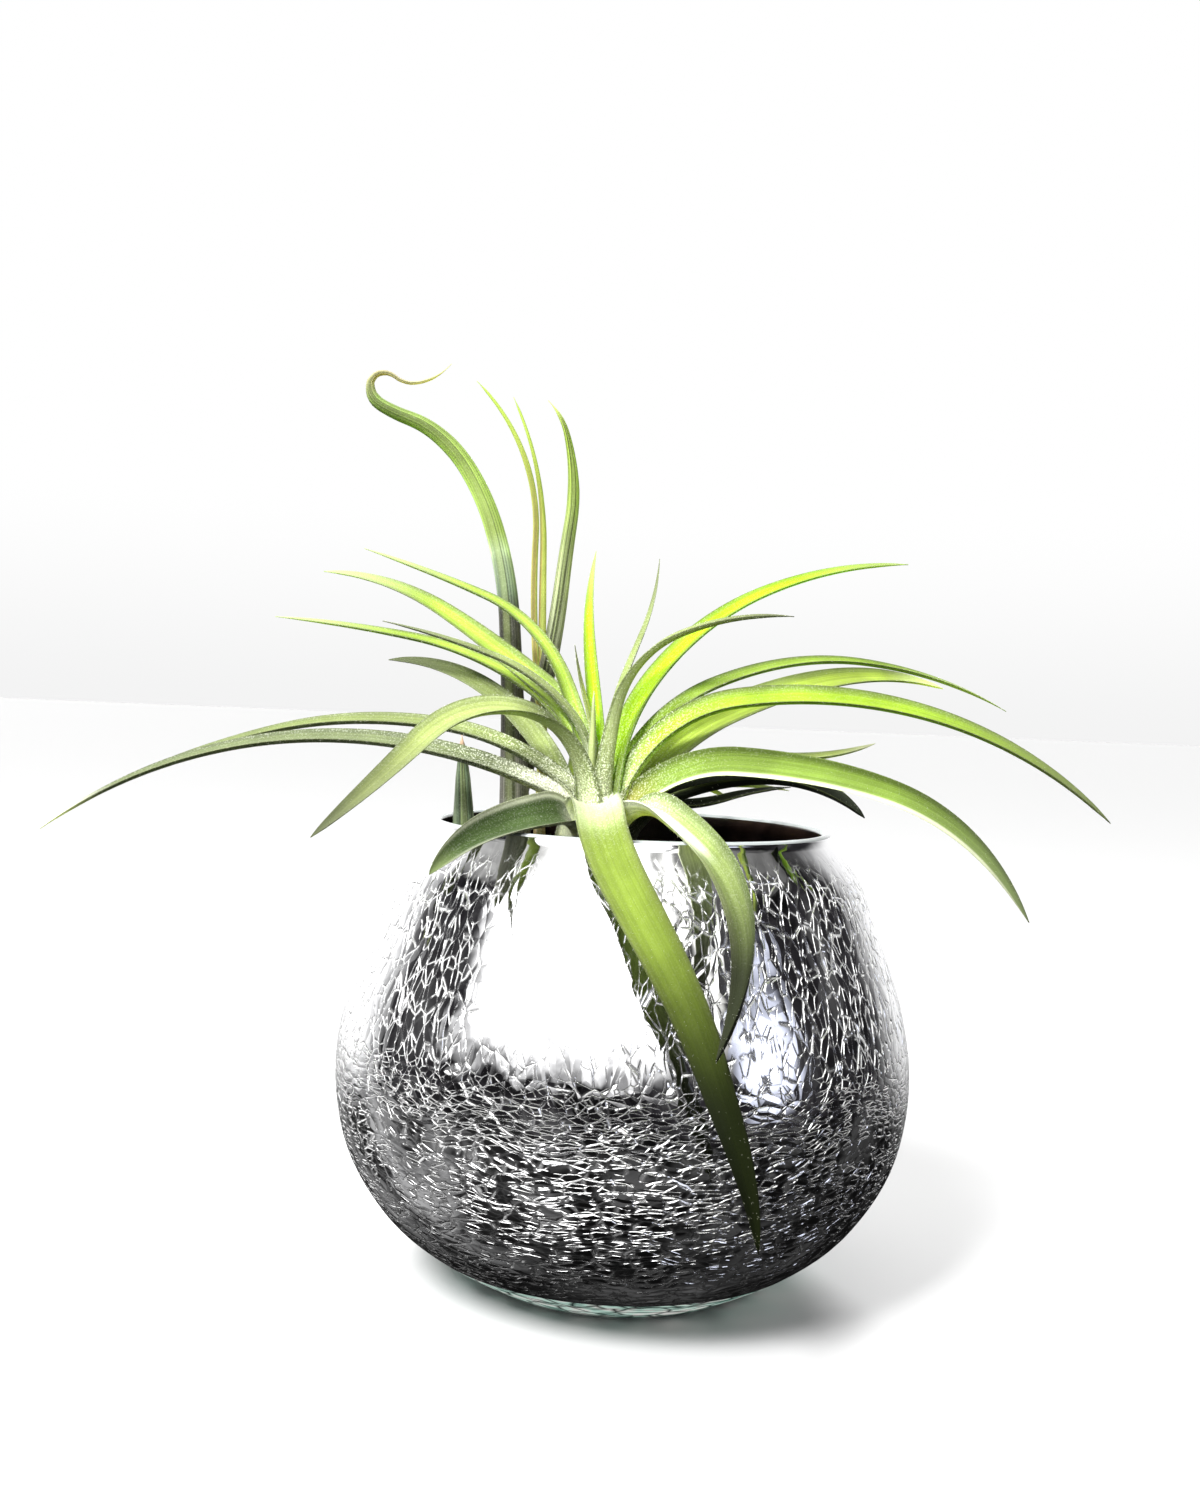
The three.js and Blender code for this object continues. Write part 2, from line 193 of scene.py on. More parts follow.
# Plain air lights the leaves, brighter from above and from behind, and the camera sees a paler one
WHITE = (1, 1, 1, 1)
from_above = steps(air, up_way, -0.1, 0.25, 0.12, 0.95)
from_behind = steps(air, back_way, -0.6, 0.7, 0.4, 1.7)
daylight = maths(air, "MULTIPLY", from_above, from_behind)
haze = steps(air, up_way, -0.02, 0.14, 0.90, 1.0)
plain_air = add_node(air, "ShaderNodeBackground", {"Color": WHITE, "Strength": daylight})
seen_air = add_node(air, "ShaderNodeBackground", {"Color": WHITE, "Strength": haze})
mirrored_air = add_node(air, "ShaderNodeBackground", {"Color": mirrored, "Strength": 1.0})
rays = add_node(air, "ShaderNodeLightPath")
seen = mix_shaders(air, rays.outputs["Is Camera Ray"], plain_air, seen_air)
all_air = mix_shaders(air, rays.outputs["Is Glossy Ray"], seen, mirrored_air)
world_out = add_node(air, "ShaderNodeOutputWorld")
air.links.new(all_air.outputs[0], world_out.inputs["Surface"])


def hang_lamp(name, kind, place, power, target, **shape):
    """Hangs a lamp and aims it. The bowl mirrors the soft boxes, and none of the lamps."""
    bpy.ops.object.light_add(type=kind, location=place)
    lamp = bpy.context.object
    lamp.name = name
    lamp.data.energy = power
    for setting, value in shape.items():
        setattr(lamp.data, setting, value)
    lamp.visible_glossy = False
    aim = Vector(target) - lamp.location
    lamp.rotation_euler = aim.to_track_quat("-Z", "Y").to_euler()


BOWL_TOP = (0, 0, 0.1)
CROWN_TOP = (-0.004, 0, 0.119)
PANEL = {"size": 0.30}
SUNLIGHT = {"angle": math.radians(20)}
BEAM = {"spot_size": math.radians(12), "spot_blend": 1.0, "shadow_soft_size": 0.03}
hang_lamp("front_light", "AREA", (-0.38, -0.50, 0.66), power=22.0, target=BOWL_TOP, **PANEL)
hang_lamp("rear_light", "SUN", (0.10, 0.75, 0.45), power=6.5, target=BOWL_TOP, **SUNLIGHT)
hang_lamp("crown_light", "SPOT", (-0.10, -0.45, 0.34), power=27.0, target=CROWN_TOP, **BEAM)


def add_material(name):
    """An empty node material, its node tree and its output node."""
    material = bpy.data.materials.new(name)
    material.use_nodes = True
    tree = material.node_tree
    tree.nodes.clear()
    return material, tree, add_node(tree, "ShaderNodeOutputMaterial")


FLOOR_SIZE = 30
PALE_GREY = (0.47, 0.47, 0.47, 1)
floor_paint, paint, paint_out = add_material("pale_floor")
floor_coat = {"Base Color": PALE_GREY, "Roughness": 0.6}
floor_shade = add_node(paint, "ShaderNodeBsdfPrincipled", floor_coat)
paint.links.new(floor_shade.outputs[0], paint_out.inputs["Surface"])
bpy.ops.mesh.primitive_plane_add(size=FLOOR_SIZE, location=(0, 0, 0))
floor = bpy.context.object
floor.name = "floor"
floor.data.materials.append(floor_paint)
floor.visible_glossy = False
floor.visible_diffuse = False


# The bowl: one piece of blown glass, dipped hot in water so that its skin crackled, then silvered.
# The crackle stops in a smooth band under the ground lip, and the thick clear foot shows green,
# with a painted glow in it.
FOOT_RADIUS = 0.030
MOUTH_RADIUS = 0.042
BOWL_HEIGHT = 0.0935
WALL = 0.0022
FLOOR = 0.007
ABOVE_FLOOR = FLOOR + 0.001
FLOOR_CORNER = 0.005
FLOOR_MIDDLE = 0.010
BOWL_SIDES = 144
BOWL_STEPS = 44
BOWL_OUTSIDE = [
    (FOOT_RADIUS, 0),
    (0.043, 0.008),
    (0.0513, 0.016),
    (0.0578, 0.028),
    (0.060, 0.043),
    (0.0577, 0.058),
    (0.0527, 0.072),
    (0.048, 0.084),
    (MOUTH_RADIUS, BOWL_HEIGHT - WALL / 2),
]


def smooth_through(points, count):
    """Points along a smooth curve that passes through the given ones."""
    given = np.array([points[0], *points, points[-1]], float)
    curve = []
    for place in np.linspace(0, len(points) - 1, count + 1):
        before = min(int(place), len(points) - 2)
        rest = place - before
        a, b, c, d = given[before : before + 4]
        square = (2 * a - 5 * b + 4 * c - d) * rest**2
        cube = (3 * b - a - 3 * c + d) * rest**3
        curve.append((2 * b + (c - a) * rest + square + cube) / 2)
    return np.array(curve)


def turn_up(name, outline, sides, at=(0, 0)):
    """Raises a turned solid ring by ring, from an outline of radius and height with flat ends."""
    bpy.ops.object.select_all(action="DESELECT")
    radius, height = outline[0]
    ring = {"vertices": sides, "radius": radius, "fill_type": "NGON"}
    bpy.ops.mesh.primitive_circle_add(location=(*at, height), **ring)
    solid = bpy.context.object
    solid.name = name
    bpy.ops.object.transform_apply(location=True, rotation=False, scale=False)
    bpy.ops.object.mode_set(mode="EDIT")
    bpy.ops.mesh.select_all(action="SELECT")
    for next_radius, next_height in outline[1:]:
        lift = {"value": (0, 0, next_height - height)}
        bpy.ops.mesh.extrude_region_move(TRANSFORM_OT_translate=lift)
        share = next_radius / radius
        bpy.ops.transform.resize(value=(share, share, 1), center_override=(*at, next_height))
        radius, height = next_radius, next_height
    bpy.ops.mesh.select_all(action="SELECT")
    bpy.ops.mesh.normals_make_consistent(inside=False)
    bpy.ops.object.mode_set(mode="OBJECT")
    bpy.ops.object.shade_smooth()
    return solid


outside = smooth_through(BOWL_OUTSIDE, BOWL_STEPS)
slope = np.gradient(outside, axis=0)
slope /= np.linalg.norm(slope, axis=1)[:, None]
inside = outside + np.stack([-slope[:, 1], slope[:, 0]], 1) * WALL
inside = inside[inside[:, 1] > ABOVE_FLOOR][::-1]
lip_turns = np.radians(np.arange(15, 180, 15))
lip_middle = np.array([MOUTH_RADIUS - WALL / 2, BOWL_HEIGHT - WALL / 2])
lip = lip_middle + WALL / 2 * np.stack([np.cos(lip_turns), np.sin(lip_turns)], 1)
inner_floor = [(inside[-1][0] - FLOOR_CORNER, FLOOR), (FLOOR_MIDDLE, FLOOR)]
bowl_outline = [tuple(map(float, point)) for point in (*outside, *lip, *inside, *inner_floor)]
bowl = turn_up("bowl", bowl_outline, BOWL_SIDES)


def own_place(tree):
    """A point's place on its own piece, so that a pattern goes where the piece goes."""
    return add_node(tree, "ShaderNodeTexCoord").outputs["Object"]


def dents(tree, height, strength, depth, over=None, invert=False):
    """Shades a surface as if it rose with the height, over the dents that it may already have."""
    relief = {"Height": height, "Strength": strength, "Distance": depth, "Normal": over}
    return add_node(tree, "ShaderNodeBump", relief, invert=invert).outputs["Normal"]


LOW_TOP = 0.038
BELLY_TOP = 0.054
LOW_SQUASH = 1.9
LOW_STRETCH = 0.6
NECK_STRETCH = 0.32


def crackle(tree, cell, sway, width, widening=1.0):
    """The edges of irregular cells: how near the next line is, from 0 far off to 1 on it. The cells
    are flat low on the bowl and drawn out tall toward its neck, as the glass was blown."""
    place = own_place(tree)
    bends = noise(tree, place, scale=90.0, detail=2.0, kind="Color")
    pull = add_node(tree, "ShaderNodeVectorMath", {0: bends, "Scale": sway}, operation="SCALE")
    shift = {0: place, 1: pull.outputs[0]}
    moved = add_node(tree, "ShaderNodeVectorMath", shift, operation="ADD").outputs[0]
    split = add_node(tree, "ShaderNodeSeparateXYZ", {0: moved})
    height = split.outputs["Z"]
    over_low = maths(tree, "MAXIMUM", maths(tree, "SUBTRACT", height, LOW_TOP), 0.0)
    over_belly = maths(tree, "MAXIMUM", maths(tree, "SUBTRACT", height, BELLY_TOP), 0.0)
    tall = maths(tree, "MULTIPLY", height, LOW_SQUASH)
    tall = maths(tree, "SUBTRACT", tall, maths(tree, "MULTIPLY", over_low, LOW_SQUASH - 1.0))
    tall = maths(tree, "SUBTRACT", tall, maths(tree, "MULTIPLY", over_belly, 1.0 - NECK_STRETCH))
    wide = steps(tree, height, LOW_TOP, BELLY_TOP, LOW_STRETCH, 1.0)
    across_x = maths(tree, "MULTIPLY", split.outputs["X"], wide)
    across_y = maths(tree, "MULTIPLY", split.outputs["Y"], wide)
    drawn = add_node(tree, "ShaderNodeCombineXYZ", {0: across_x, 1: across_y, 2: tall})
    net = {"Vector": drawn.outputs[0], "Scale": 1 / cell}
    cells = add_node(tree, "ShaderNodeTexVoronoi", net, feature="DISTANCE_TO_EDGE")
    from_edge = cells.outputs["Distance"]
    reach = steps(tree, height, LOW_TOP, BELLY_TOP, width * widening, width)
    levels = {"Value": from_edge, "From Min": 0.0, "From Max": reach, "To Min": 1.0, "To Max": 0.0}
    return add_node(tree, "ShaderNodeMapRange", levels).outputs["Result"]


CRACK_CELL = 0.0036
FINE_CELL = 0.0019
CRACK_SWAY = 0.004
FINE_SWAY = 0.002
CRACKLE_ENDS = (0.083, 0.0925)
CALM_AT = (-0.013, -0.053, 0.071)
CALM_REACH = (0.010, 0.026)
CRACK_DEPTH = 0.00034
WAVE_DEPTH = 0.0012
mirror, silver, silver_out = add_material("silvered_crackle_glass")
cracks = crackle(silver, CRACK_CELL, CRACK_SWAY, width=0.070, widening=1.9)
fine_cracks = crackle(silver, FINE_CELL, FINE_SWAY, width=0.10, widening=1.6)
domes = crackle(silver, CRACK_CELL, CRACK_SWAY, width=0.42)
glass_place = own_place(silver)
glass_height = add_node(silver, "ShaderNodeSeparateXYZ", {0: glass_place}).outputs["Z"]
calm_span = {0: glass_place, 1: CALM_AT}
from_calm = add_node(silver, "ShaderNodeVectorMath", calm_span, operation="DISTANCE")
calm = steps(silver, from_calm.outputs["Value"], *CALM_REACH, 0.30, 1.0)
cracked = maths(silver, "MULTIPLY", steps(silver, glass_height, *CRACKLE_ENDS, 1.0, 0.0), calm)
breaks = noise(silver, glass_place, scale=420.0, detail=1.0)
broken_up = steps(silver, breaks, 0.38, 0.56, 0.2, 1.0)
lines = maths(silver, "MAXIMUM", cracks, maths(silver, "MULTIPLY", fine_cracks, 0.8))
lines = maths(silver, "MULTIPLY", maths(silver, "MULTIPLY", lines, broken_up), cracked)
flat_domes = maths(silver, "MULTIPLY", cracked, 0.22)
bulge = maths(silver, "MULTIPLY", maths(silver, "SUBTRACT", 1.0, domes), flat_domes)
waves = maths(silver, "ADD", noise(silver, glass_place, scale=55.0, detail=3.0), bulge)
hollow = dents(silver, waves, strength=0.25, depth=WAVE_DEPTH)
cut = dents(silver, lines, strength=1.0, depth=CRACK_DEPTH, over=hollow, invert=True)
silver_skin = add_node(
    silver,
    "ShaderNodeBsdfPrincipled",
    {"Base Color": (0.76, 0.76, 0.77, 1), "Metallic": 1.0, "Roughness": 0.05, "Normal": hollow},
)
broken_edge = add_node(
    silver,
    "ShaderNodeBsdfPrincipled",
    {"Base Color": (1.0, 1.0, 1.0, 1), "Metallic": 0.90, "Roughness": 0.18, "Normal": cut},
)
on_crack = steps(silver, lines, 0.0, 0.6, 0.0, 0.95)
crazed = mix_shaders(silver, on_crack, silver_skin, broken_edge)
silver.links.new(crazed.outputs[0], silver_out.inputs["Surface"])

lip_glass, clear, clear_out = add_material("clear_lip_glass")
lip_shade = add_node(
    clear,
    "ShaderNodeBsdfPrincipled",
    {
        "Base Color": (0.42, 0.45, 0.45, 1),
        "Roughness": 0.08,
        "IOR": 1.5,
        "Transmission Weight": 0.3,
    },
)
clear.links.new(lip_shade.outputs[0], clear_out.inputs["Surface"])

foot_glass, green, green_out = add_material("green_foot_glass")
foot_cracks = crackle(green, CRACK_CELL, CRACK_SWAY, width=0.15)
foot_place = own_place(green)
foot_height = add_node(green, "ShaderNodeSeparateXYZ", {0: foot_place}).outputs["Z"]
# The foot's tint is the glass's own green and also a painted glow, since it feeds the emission
# below; it darkens over the lowest two millimetres
foot_tint_and_glow = ramp(
    green,
    noise(green, foot_place, scale=170.0, detail=2.0),
    (0.36, (0.22, 0.40, 0.34)),
    (0.50, (0.72, 1.0, 0.88)),
    (0.62, (1.0, 1.0, 0.95)),
)
foot_tint_and_glow = blend_colors(green, foot_cracks, foot_tint_and_glow, (0.01, 0.02, 0.016))
under_edge = steps(green, foot_height, 0.0004, 0.0022, 0.9, 0.0)
foot_tint_and_glow = blend_colors(green, under_edge, foot_tint_and_glow, (0.02, 0.03, 0.025))
foot_shade = add_node(
    green,
    "ShaderNodeBsdfPrincipled",
    {
        "Base Color": foot_tint_and_glow,
        "Roughness": 0.08,
        "IOR": 1.5,
        "Transmission Weight": 0.15,
        "Normal": dents(green, foot_cracks, strength=0.8, depth=0.0004),
        "Emission Color": foot_tint_and_glow,
        "Emission Strength": 0.50,
    },
)
green.links.new(foot_shade.outputs[0], green_out.inputs["Surface"])

# The inside is painted near-black brown: partly the lining's own colour, partly painted shade deep
# inside the bowl
lining, brown, brown_out = add_material("brown_lining")
lining_and_shade_color = ramp(
    brown,
    noise(brown, own_place(brown), scale=60.0, detail=4.0),
    (0.35, (0.004, 0.003, 0.003)),
    (0.85, (0.035, 0.020, 0.014)),
)
lining_shade = add_node(
    brown,
    "ShaderNodeBsdfPrincipled",
    {"Base Color": lining_and_shade_color, "Roughness": 0.22, "Coat Weight": 0.5, "Coat Roughness": 0.1},
)
brown.links.new(lining_shade.outputs[0], brown_out.inputs["Surface"])

LIP_BAND = 0.0006
FOOT_BAND = 0.0068
glass_finishes = [mirror, lip_glass, foot_glass, lining]
for finish in glass_finishes:
    bowl.data.materials.append(finish)
for face in bowl.data.polygons:
    middle = face.center
    outward = face.normal.x * middle.x + face.normal.y * middle.y
    if middle.z > BOWL_HEIGHT - LIP_BAND:
        face.material_index = glass_finishes.index(lip_glass)
    elif outward < 0 or (face.normal.z > 0.9 and middle.z < ABOVE_FLOOR):
        face.material_index = glass_finishes.index(lining)
    elif middle.z < FOOT_BAND:
        face.material_index = glass_finishes.index(foot_glass)
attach(bowl, "root")
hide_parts("crackle_glass_bowl")


# The rosette's leaves: living blades, channelled on their upper side, silvery with fine scales at
# the base and drying to a brown tip, which on the leaves that hang or lie in shade is darkened with
# painted shade. Each grows from the crown in the bowl's mouth and arches over.
BLADE_STEPS = 76
BLADE_SIDES = 22
SPINE_STEPS = 120
SEAM_GAP = 0.000002
MIDRIB_THICKNESS = 0.0011
TIP_THICKNESS = 0.0006
TIP_WIDTH = 0.00016
SHEATH_FLARE = 0.4
SHEATH_LENGTH = 0.14
WAIST_LENGTH = 0.35
CHANNEL = 0.55
TAPER = 0.7
ROLLED_THICKNESS = 0.8
ROLLED_TIP = 0.03
CLIMB_PLACES = (0, 0.12, 0.35, 0.65, 1)
HAIR_LENGTH = 0.00038
HAIR_RADIUS = 0.00003
HAIR_ROOT = 0.00003
HAIR_CROWDING = 3.2
HAIR_LIFT = 0.8
HAIR_LEAN = 0.5
HAIR_TANGLE = 0.25
chance = np.random.default_rng(7)


def leaf(
    name, root, length, climb, heading, width, fullness=1, roll=0, places=CLIMB_PLACES,
    fold=CHANNEL, waist=1.0, skin="green", hairs=1100,
):
    """One leaf in millimetres and degrees. It climbs above level and heads round as told."""
    return {
        "name": name,
        "root": np.array(root) / 1000,
        "length": length / 1000,
        "climb": climb,
        "heading": heading,
        "width": width,
        "fullness": fullness,
        "roll": roll,
        "places": places,
        "fold": fold,
        "waist": waist,
        "skin": skin,
        "hairs": hairs,
    }


def spine_of(row, places):
    """The points of a leaf's midrib at the given places, and its directions along and up there."""
    mids = (np.arange(SPINE_STEPS) + 0.5) / SPINE_STEPS
    stops = np.linspace(0, 1, len(row["heading"]))

    def way_at(at, lift=0.0):
        climb = np.radians(np.interp(at, row["places"], row["climb"]) + lift)
        heading = np.radians(np.interp(at, stops, row["heading"]))
        level = np.cos(climb)
        return np.stack([level * np.cos(heading), level * np.sin(heading), np.sin(climb)], -1)

    strides = way_at(mids) * row["length"] / SPINE_STEPS
    walk = np.vstack([row["root"], row["root"] + np.cumsum(strides, axis=0)])
    along = way_at(places)
    face = way_at(places, 90.0)
    rolls = np.atleast_1d(row["roll"])
    roll = np.radians(np.interp(places, np.linspace(0, 1, len(rolls)), rolls))[:, None]
    face = face * np.cos(roll) + np.cross(along, face) * np.sin(roll)
    whole = np.linspace(0, 1, SPINE_STEPS + 1)
    points = np.stack([np.interp(places, whole, walk[:, axis]) for axis in range(3)], -1)
    return points, along, face, np.cross(along, face)


def sizes_of(row, places):
    """A leaf's full width and thickness at the given places, in metres, and its channel's depth."""
    if isinstance(row["width"], (int, float)):
        width = row["width"] / 1000 * (1 - np.minimum(places, 1) ** row["fullness"]) ** TAPER
        width *= row["waist"] + (1 - row["waist"]) * np.clip(places / WAIST_LENGTH, 0, 1)
        flare = 1 + SHEATH_FLARE * np.clip(1 - places / SHEATH_LENGTH, 0, 1) ** 2
        width = np.maximum(width, TIP_WIDTH) * flare
        thick = MIDRIB_THICKNESS + (TIP_THICKNESS - MIDRIB_THICKNESS) * places
        thick = np.minimum(thick, np.maximum(width * 0.5, TIP_WIDTH))
        return width, thick, row["fold"] * width / 2
    stops, widths = zip(*row["width"])
    width = np.interp(places, stops, widths) / 1000
    width *= np.clip((1 - places) / ROLLED_TIP, 0.3, 1)
    return width, width * ROLLED_THICKNESS, np.zeros_like(width)


def skin_points(row, places, turns):
    """Points on a leaf's skin, at places along and turns round it, and the ways out and along."""
    points, along, face, across = spine_of(row, places)
    width, thick, channel = sizes_of(row, places)
    x, z = np.cos(turns), np.sin(turns)
    sideways = across * (x * width / 2)[:, None]
    upward = face * (z * thick / 2 + channel * x**2)[:, None]
    out = across * (x * thick / width)[:, None] + face * z[:, None]
    return points + sideways + upward, out / np.linalg.norm(out, axis=1)[:, None], along


def lay_leaf(row, steps_along, sides):
    """Wraps a grid round a leaf's midrib, closes its ends, and marks each point's place on it."""
    bpy.ops.object.select_all(action="DESELECT")
    bpy.ops.mesh.primitive_grid_add(x_subdivisions=sides, y_subdivisions=steps_along, size=2)
    blade = bpy.context.object
    blade.name = row["name"].replace("leaf_", "blade_")
    flat = np.empty(len(blade.data.vertices) * 3)
    blade.data.vertices.foreach_get("co", flat)
    flat = flat.reshape(-1, 3)
    turns = (flat[:, 0] + 1) * math.pi
    rings = np.rint((flat[:, 1] + 1) / 2 * steps_along)
    places = np.clip((rings - 1) / (steps_along - 2), 0, 1)
    placed, _, _ = skin_points(row, places, turns)
    ends = (rings == 0) | (rings == steps_along)
    placed[ends] = spine_of(row, places[ends])[0]
    blade.data.vertices.foreach_set("co", placed.ravel())
    marks = blade.data.color_attributes.new("blade", "FLOAT_COLOR", "POINT")
    across, side = 0.5 + np.cos(turns) / 2, 0.5 + np.sin(turns) / 2
    colors = np.stack([places, across, side, np.ones_like(places)], 1)
    marks.data.foreach_set("color", colors.ravel())
    bpy.ops.object.mode_set(mode="EDIT")
    bpy.ops.mesh.select_all(action="SELECT")
    bpy.ops.mesh.remove_doubles(threshold=SEAM_GAP)
    bpy.ops.mesh.normals_make_consistent(inside=False)
    bpy.ops.object.mode_set(mode="OBJECT")
    bpy.ops.object.shade_smooth()
    return blade


def grow_hairs(row, blade, finish):
    """Joins fine pointed hairs to a leaf, leaning toward its tip and crowded toward its base."""
    count = row["hairs"]
    places = chance.random(count) ** HAIR_CROWDING
    turns = chance.random(count) * 2 * math.pi
    foot, out, along = skin_points(row, places, turns)
    tall = HAIR_LENGTH * (0.5 + chance.random(count)) * (1 - 0.5 * places)
    points_to = out * HAIR_LIFT + along * HAIR_LEAN + chance.normal(0, HAIR_TANGLE, (count, 3))
    points_to /= np.linalg.norm(points_to, axis=1)[:, None]
    side = np.cross(points_to, along)
    side /= np.linalg.norm(side, axis=1)[:, None]
    third = np.cross(points_to, side)
    corners = [foot + points_to * tall[:, None]]
    for degrees in (0, 120, 240):
        turn = math.radians(degrees)
        spread = (side * math.cos(turn) + third * math.sin(turn)) * HAIR_RADIUS
        corners.append(foot - out * HAIR_ROOT + spread)
    points = np.stack(corners, 1).reshape(-1, 3)
    first = np.arange(count)[:, None, None] * 4
    faces = (first + np.array([[0, 1, 2], [0, 2, 3], [0, 3, 1], [1, 3, 2]])).reshape(-1, 3)
    mesh = bpy.data.meshes.new("hairs")
    mesh.from_pydata(points.tolist(), [], faces.tolist())
    hairs = bpy.data.objects.new("hairs", mesh)
    bpy.context.collection.objects.link(hairs)
    mesh.materials.append(finish)
    bpy.ops.object.select_all(action="DESELECT")
    hairs.select_set(True)
    blade.select_set(True)
    bpy.context.view_layer.objects.active = blade
    bpy.ops.object.join()


fuzz, fluff, fluff_out = add_material("silver_scales")
fluff_coat = {"Base Color": (0.78, 0.80, 0.68, 1), "Roughness": 0.7}
fluff_shade = add_node(fluff, "ShaderNodeBsdfPrincipled", fluff_coat)
fluff_glow = add_node(fluff, "ShaderNodeBsdfTranslucent", {"Color": (0.8, 0.82, 0.65, 1)})
lit_fluff = mix_shaders(fluff, 0.4, fluff_shade, fluff_glow)
fluff.links.new(lit_fluff.outputs[0], fluff_out.inputs["Surface"])

BASE_FADE = 0.22
BEND_REACH = 0.14
RIM_WIDTH = 0.14
RIM_FADE = 0.2
RIB_RUN = 1.6
BEND_SHADOW = (0.075, 0.095, 0.03)
OUTLINE_SHADE = (0.10, 0.12, 0.045)
SCALE_COLOR = (0.93, 0.95, 0.84)


def leaf_skin(
    name, tip, glow, glow_share, base=None, inner=None, outer=None, edge=None, bands=None,
    base_end=0.22, edge_from=0.22, edging=0.75, tip_start=0.8, tip_end=1.0, shadow_at=None,
    low_rim=None, low_rim_from=0.80, low_rim_end=2.0, high_rim=None, outline=0.72, stripes=16.0,
    rib_contrast=0.16, dots=0.75, scurf_end=0.42, rim_scurf=0.15, gloss=0.35,
):
    """A leaf's skin: its own colours inside and outside the channel, edges that are partly a duller
    colour of their own and partly painted shade, a thin outline of painted shade, a painted shadow
    at a bend where one is asked for, lengthwise ribs, silver scales that thin out from the base, a
    dry tip that some skins darken further with painted shade, and light that comes through the
    blade.
    A rolled leaf takes bands of colour from base to tip in place of the first four colours."""
    material, tree, end = add_material(name)
    marks = add_node(tree, "ShaderNodeAttribute", attribute_name="blade")
    split = add_node(tree, "ShaderNodeSeparateColor", {0: marks.outputs["Color"]})
    along, across, side = split.outputs[0], split.outputs[1], split.outputs[2]
    place = own_place(tree)
    from_middle = maths(tree, "ABSOLUTE", maths(tree, "SUBTRACT", across, 0.5))
    upper = steps(tree, side, 0.45, 0.55)
    if bands:
        body = ramp(tree, along, *bands)
    else:
        # The edge colour is partly the margin's own duller tone and, where it is darker than the
        # middle, painted shade across the curved blade
        at_edge = steps(tree, from_middle, edge_from, 0.46, 0.0, edging)
        at_base = steps(tree, along, base_end - BASE_FADE, base_end, 1.0, 0.0)
        body = blend_colors(tree, upper, outer, inner)
        body = blend_colors(tree, at_edge, body, edge)
        body = blend_colors(tree, at_base, body, base)
    if shadow_at is not None:
        from_bend = maths(tree, "ABSOLUTE", maths(tree, "SUBTRACT", along, shadow_at))
        at_bend = steps(tree, from_bend, 0.0, BEND_REACH, 0.75, 0.0)
        body = blend_colors(tree, maths(tree, "MULTIPLY", at_bend, upper), body, BEND_SHADOW)
    if low_rim is not None:
        on_rim = steps(tree, across, low_rim_from, low_rim_from + RIM_WIDTH, 0.0, 0.9)
        before_end = steps(tree, along, low_rim_end - RIM_FADE, low_rim_end, 1.0, 0.0)
        body = blend_colors(tree, maths(tree, "MULTIPLY", on_rim, before_end), body, low_rim)
        body = blend_colors(tree, steps(tree, across, 0.05, 0.30, 0.85, 0.0), body, high_rim)
    # A thin dark line along each leaf's edges: painted shade, where the channel's underside turns
    # from the light
    at_outline_shade = steps(tree, from_middle, 0.43, 0.485, 0.0, outline)
    body = blend_colors(tree, at_outline_shade, body, OUTLINE_SHADE)

    rib_across = maths(tree, "MULTIPLY", across, stripes)
    rib_along = maths(tree, "MULTIPLY", along, RIB_RUN)
    rib_place = add_node(tree, "ShaderNodeCombineXYZ", {0: rib_across, 1: rib_along, 2: side})
    ribs = noise(tree, rib_place.outputs[0], scale=1.6, detail=3.0)
    rib_shade = steps(tree, ribs, 0.32, 0.68, 1 - rib_contrast, 1 + rib_contrast)
    patches = noise(tree, place, scale=70.0, detail=3.0)
    patch_shade = steps(tree, patches, 0.35, 0.7, 0.8, 1.12)
    shade = maths(tree, "MULTIPLY", patch_shade, rib_shade)
    body = blend_colors(tree, 1.0, body, grey(tree, shade), "MULTIPLY")

    grains = noise(tree, place, scale=3000.0, detail=1.0)
    near_base = steps(tree, along, 0.0, scurf_end, 1.0, 0.0)
    near_rim = steps(tree, from_middle, 0.20, 0.48, 0.08, rim_scurf)
    scurf = maths(tree, "MULTIPLY", maths(tree, "MAXIMUM", near_base, near_rim), dots)
    pale_grains = steps(tree, grains, 0.52, 0.66)
    dark_grains = steps(tree, grains, 0.36, 0.50, 0.42, 1.0)
    grain_shade = blend_colors(tree, scurf, (1.0, 1.0, 1.0), grey(tree, dark_grains))
    body = blend_colors(tree, 1.0, body, grain_shade, "MULTIPLY")
    body = blend_colors(tree, maths(tree, "MULTIPLY", pale_grains, scurf), body, SCALE_COLOR)
    body = blend_colors(tree, steps(tree, along, tip_start, tip_end, 0.0, 0.95), body, tip)

    height = maths(tree, "ADD", ribs, maths(tree, "MULTIPLY", grains, 0.5))
    relief = dents(tree, height, strength=0.4, depth=0.0002)
    skin = add_node(
        tree,
        "ShaderNodeBsdfPrincipled",
        {"Base Color": body, "Roughness": 0.5, "Specular IOR Level": gloss, "Normal": relief},
    )
    glow_color = blend_colors(tree, 1.0, body, glow, "MULTIPLY")
    see_through = {"Color": glow_color, "Normal": relief}
    through = add_node(tree, "ShaderNodeBsdfTranslucent", see_through)
    mixed = mix_shaders(tree, glow_share, skin, through)
    tree.links.new(mixed.outputs[0], end.inputs["Surface"])
    return material


